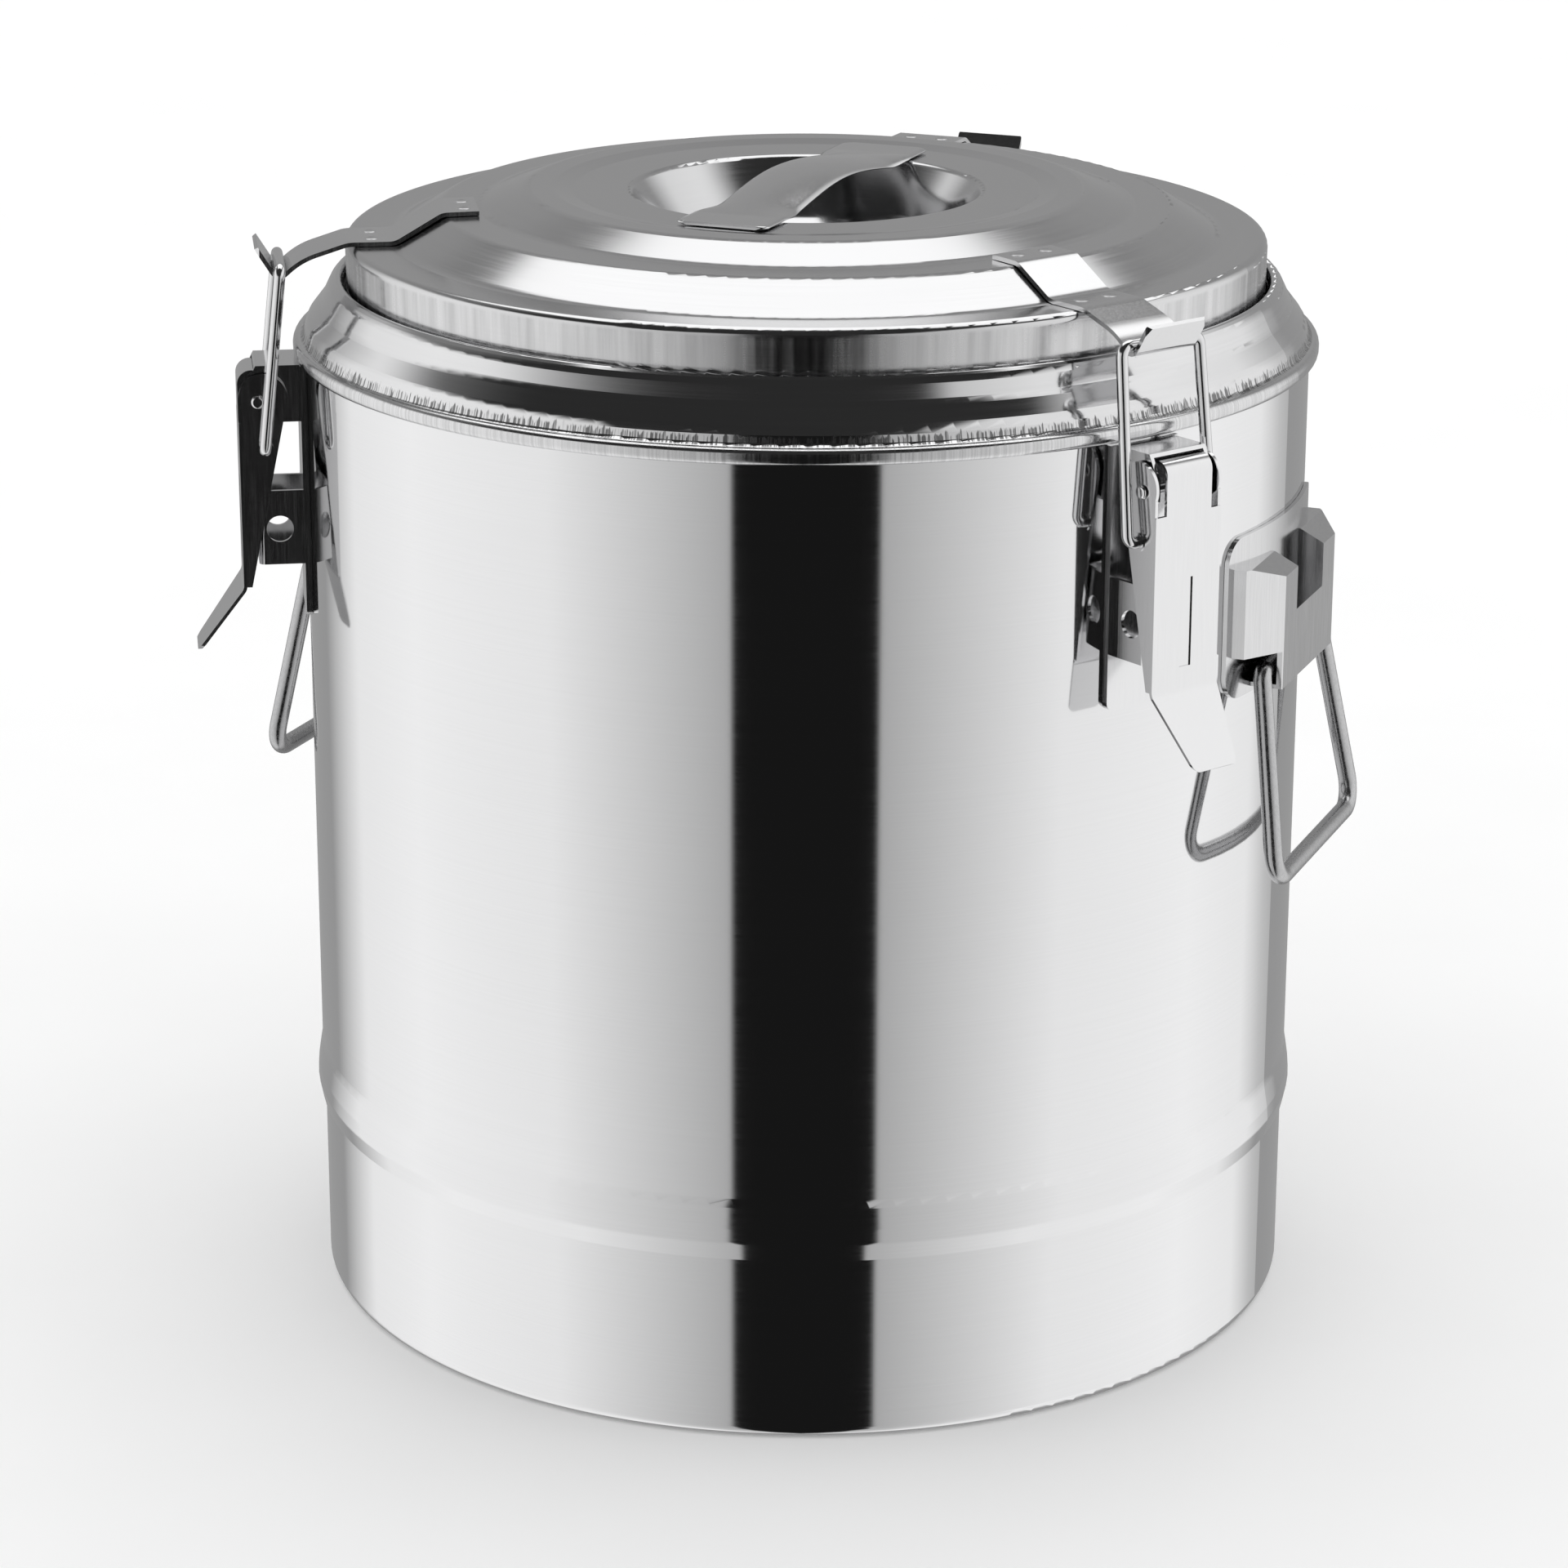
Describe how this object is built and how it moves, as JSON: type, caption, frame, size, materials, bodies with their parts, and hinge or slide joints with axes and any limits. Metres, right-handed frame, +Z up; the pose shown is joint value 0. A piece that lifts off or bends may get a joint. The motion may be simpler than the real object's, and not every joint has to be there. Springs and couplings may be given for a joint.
{
  "type": "milk can",
  "caption": "Straight-sided insulated steel can with a clamped lift-off lid, strap grip, over-centre wire latches and swinging wire carry handles.",
  "frame": {"origin": "on the can's axis, in the flat base that it stands on", "axes": "+Z up along the can's axis, out of the mouth; -Y is the front; the carry handles are on +X and -X and one latch is at the back, on +Y"},
  "size_m": [0.397, 0.4041, 0.4119],
  "materials": {
    "polished_steel": "mirror-polished stainless steel with faint lengthwise lines",
    "spun_steel": "spun and polished, with short radial marks by the seam",
    "lid_steel": "satin, brushed round the axis",
    "vessel_steel": "satin",
    "strap_steel": "fine satin",
    "latch_steel": "bright pressed sheet",
    "wire_steel": "bright drawn wire",
    "bracket_steel": "pressed, with drawing marks",
    "handle_wire": "dull drawn wire, lightly pitted",
    "foam": "rigid foam",
    "gasket": "silicone"
  },
  "bodies": {
    "can": {"outer_shell": "polished_steel", "base_pan": "polished_steel", "shoulder_ring": "spun_steel", "inner_vessel": "vessel_steel", "insulation": "foam", "latch_base_1": "latch_steel", "latch_base_2": "latch_steel", "latch_base_3": "latch_steel", "latch_hood_1": "latch_steel", "latch_hood_2": "latch_steel", "latch_hood_3": "latch_steel", "latch_guard_1": "latch_steel", "latch_guard_2": "latch_steel", "latch_guard_3": "latch_steel", "latch_pin_1": "latch_steel", "latch_pin_2": "latch_steel", "latch_pin_3": "latch_steel", "carry_bracket_right": "bracket_steel", "carry_bracket_left": "bracket_steel"},
    "lid": {"lid_outer": "lid_steel", "lid_inner": "lid_steel", "lid_insulation": "foam", "lid_gasket": "gasket", "lid_handle": "strap_steel", "lid_clip_1": "strap_steel", "lid_clip_2": "strap_steel", "lid_clip_3": "strap_steel"},
    "lever_1": {"latch_lever_1": "latch_steel"},
    "bail_1": {"latch_bail_1": "wire_steel"},
    "lever_2": {"latch_lever_2": "latch_steel"},
    "bail_2": {"latch_bail_2": "wire_steel"},
    "lever_3": {"latch_lever_3": "latch_steel"},
    "bail_3": {"latch_bail_3": "wire_steel"},
    "handle_right": {"carry_handle_right": "handle_wire"},
    "handle_left": {"carry_handle_left": "handle_wire"}
  },
  "joints": [
    {"name": "lid_lift", "type": "slide", "parent": "can", "child": "lid", "axis": [0, 0, 1], "range_m": [0, 0.15]},
    {"name": "lever_1_turn", "type": "hinge", "parent": "can", "child": "lever_1", "pos_m": [0.17043, -0.0984, 0.3346], "axis": [-0.5, -0.866, 0], "range_deg": [0, 100.5]},
    {"name": "bail_1_turn", "type": "hinge", "parent": "lever_1", "child": "bail_1", "pos_m": [0.16879, -0.09745, 0.3172], "axis": [0.5, 0.866, 0], "range_deg": [0, 164.5]},
    {"name": "lever_2_turn", "type": "hinge", "parent": "can", "child": "lever_2", "pos_m": [-0.17043, -0.0984, 0.3346], "axis": [-0.5, 0.866, 0], "range_deg": [0, 100.5]},
    {"name": "bail_2_turn", "type": "hinge", "parent": "lever_2", "child": "bail_2", "pos_m": [-0.16879, -0.09745, 0.3172], "axis": [0.5, -0.866, 0], "range_deg": [0, 164.5]},
    {"name": "lever_3_turn", "type": "hinge", "parent": "can", "child": "lever_3", "pos_m": [0, 0.1968, 0.3346], "axis": [1, 0, 0], "range_deg": [0, 100.5]},
    {"name": "bail_3_turn", "type": "hinge", "parent": "lever_3", "child": "bail_3", "pos_m": [0, 0.1949, 0.3172], "axis": [-1, 0, 0], "range_deg": [0, 164.5]},
    {"name": "handle_right_swing", "type": "hinge", "parent": "can", "child": "handle_right", "pos_m": [0.184, 0, 0.2542], "axis": [0, -1, 0], "range_deg": [0, 100]},
    {"name": "handle_left_swing", "type": "hinge", "parent": "can", "child": "handle_left", "pos_m": [-0.184, 0, 0.2542], "axis": [0, 1, 0], "range_deg": [0, 100]}
  ],
  "couplings": [
    {"joint": "lever_1_turn", "follows": "lid_lift", "rad_per_m": 11.636},
    {"joint": "bail_1_turn", "follows": "lid_lift", "rad_per_m": 19.082},
    {"joint": "lever_2_turn", "follows": "lid_lift", "rad_per_m": 11.636},
    {"joint": "bail_2_turn", "follows": "lid_lift", "rad_per_m": 19.082},
    {"joint": "lever_3_turn", "follows": "lid_lift", "rad_per_m": 11.636},
    {"joint": "bail_3_turn", "follows": "lid_lift", "rad_per_m": 19.082}
  ]
}
